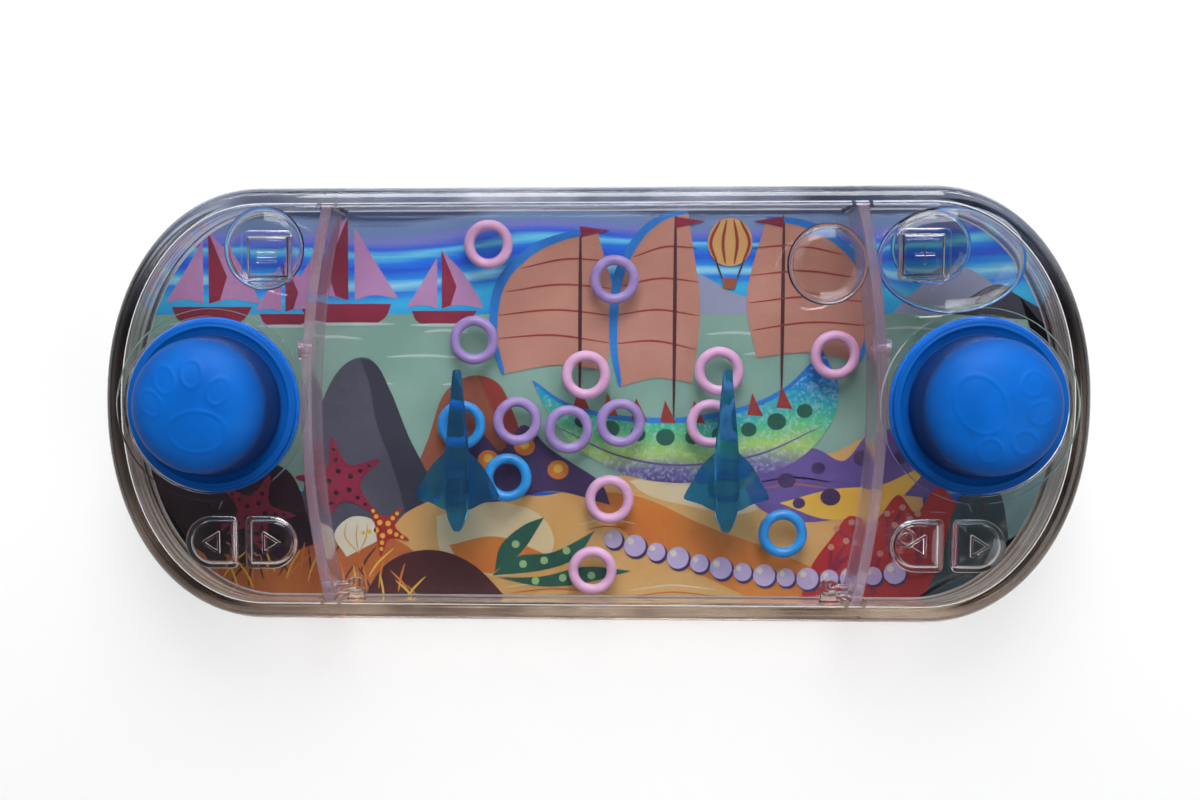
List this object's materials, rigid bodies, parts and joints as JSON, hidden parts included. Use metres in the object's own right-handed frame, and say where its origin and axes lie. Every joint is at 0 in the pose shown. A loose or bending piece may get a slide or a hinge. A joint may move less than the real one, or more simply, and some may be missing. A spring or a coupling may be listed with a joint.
{
  "type": "handheld water game",
  "caption": "Flat clear water-filled case with round ends, a soft pump at each end, milky inner walls, loose rings and winged figures with spikes to catch them.",
  "frame": {"origin": "centre of the flat back face, in the plane on which the game lies", "axes": "+X to the right and +Y up as the player sees the window, +Z out of the window"},
  "size_m": [0.15, 0.066, 0.033],
  "materials": {
    "clear_plastic": "clear polystyrene, moulded and polished",
    "milky_plastic": "milky translucent, satin",
    "print": "colour print under rainbow film",
    "silicone": "soft satin, bright blue",
    "peg_plastic": "translucent teal blue",
    "plug_plastic": "soft, matt, off-white",
    "ring_pink": "soft satin",
    "ring_lilac": "soft satin",
    "ring_blue": "soft satin"
  },
  "bodies": {
    "case": {"front_shell": "clear_plastic", "tank_back": "clear_plastic", "print_card": "print", "back_cover": "clear_plastic", "fill_plug": "plug_plastic", "partition_left": "milky_plastic", "jet_nozzle_left": "clear_plastic", "pump_flange_left": "silicone", "pump_wall_left": "silicone", "pump_collar_left": "clear_plastic", "peg_left": "peg_plastic", "partition_right": "milky_plastic", "jet_nozzle_right": "clear_plastic", "pump_flange_right": "silicone", "pump_wall_right": "silicone", "pump_collar_right": "clear_plastic", "peg_right": "peg_plastic"},
    "pump_left": {"pump_crown_left": "silicone"},
    "pump_right": {"pump_crown_right": "silicone"},
    "ring_01": {"ring_01": "ring_pink"},
    "ring_02": {"ring_02": "ring_lilac"},
    "ring_03": {"ring_03": "ring_lilac"},
    "ring_04": {"ring_04": "ring_pink"},
    "ring_05": {"ring_05": "ring_pink"},
    "ring_06": {"ring_06": "ring_pink"},
    "ring_07": {"ring_07": "ring_blue"},
    "ring_08": {"ring_08": "ring_lilac"},
    "ring_09": {"ring_09": "ring_lilac"},
    "ring_10": {"ring_10": "ring_lilac"},
    "ring_11": {"ring_11": "ring_pink"},
    "ring_12": {"ring_12": "ring_blue"},
    "ring_13": {"ring_13": "ring_pink"},
    "ring_14": {"ring_14": "ring_blue"},
    "ring_15": {"ring_15": "ring_pink"}
  },
  "joints": [
    {"name": "pump_left_press", "type": "slide", "parent": "case", "child": "pump_left", "axis": [0, 0, 1], "range_m": [-0.006, 0], "stiffness_N_per_m": 500, "deforming": ["pump_wall_left"]},
    {"name": "pump_right_press", "type": "slide", "parent": "case", "child": "pump_right", "axis": [0, 0, 1], "range_m": [-0.006, 0], "stiffness_N_per_m": 500, "deforming": ["pump_wall_right"]},
    {"name": "ring_01_lift", "type": "slide", "parent": "case", "child": "ring_01", "axis": [0, 0, 1], "range_m": [0, 0.01]},
    {"name": "ring_02_lift", "type": "slide", "parent": "case", "child": "ring_02", "axis": [0, 0, 1], "range_m": [0, 0.01]},
    {"name": "ring_03_lift", "type": "slide", "parent": "case", "child": "ring_03", "axis": [0, 0, 1], "range_m": [0, 0.01]},
    {"name": "ring_04_lift", "type": "slide", "parent": "case", "child": "ring_04", "axis": [0, 0, 1], "range_m": [0, 0.01]},
    {"name": "ring_05_lift", "type": "slide", "parent": "case", "child": "ring_05", "axis": [0, 0, 1], "range_m": [0, 0.0024]},
    {"name": "ring_06_lift", "type": "slide", "parent": "case", "child": "ring_06", "axis": [0, 0, 1], "range_m": [0, 0.01]},
    {"name": "ring_07_lift", "type": "slide", "parent": "case", "child": "ring_07", "axis": [0, 0, 1], "range_m": [0, 0.0024]},
    {"name": "ring_08_lift", "type": "slide", "parent": "case", "child": "ring_08", "axis": [0, 0, 1], "range_m": [0, 0.01]},
    {"name": "ring_09_lift", "type": "slide", "parent": "case", "child": "ring_09", "axis": [0, 0, 1], "range_m": [0, 0.01]},
    {"name": "ring_10_lift", "type": "slide", "parent": "case", "child": "ring_10", "axis": [0, 0, 1], "range_m": [0, 0.01]},
    {"name": "ring_11_lift", "type": "slide", "parent": "case", "child": "ring_11", "axis": [0, 0, 1], "range_m": [0, 0.0024]},
    {"name": "ring_12_lift", "type": "slide", "parent": "case", "child": "ring_12", "axis": [0, 0, 1], "range_m": [0, 0.0024]},
    {"name": "ring_13_lift", "type": "slide", "parent": "case", "child": "ring_13", "axis": [0, 0, 1], "range_m": [0, 0.01]},
    {"name": "ring_14_lift", "type": "slide", "parent": "case", "child": "ring_14", "axis": [0, 0, 1], "range_m": [0, 0.01]},
    {"name": "ring_15_lift", "type": "slide", "parent": "case", "child": "ring_15", "axis": [0, 0, 1], "range_m": [0, 0.01]}
  ]
}
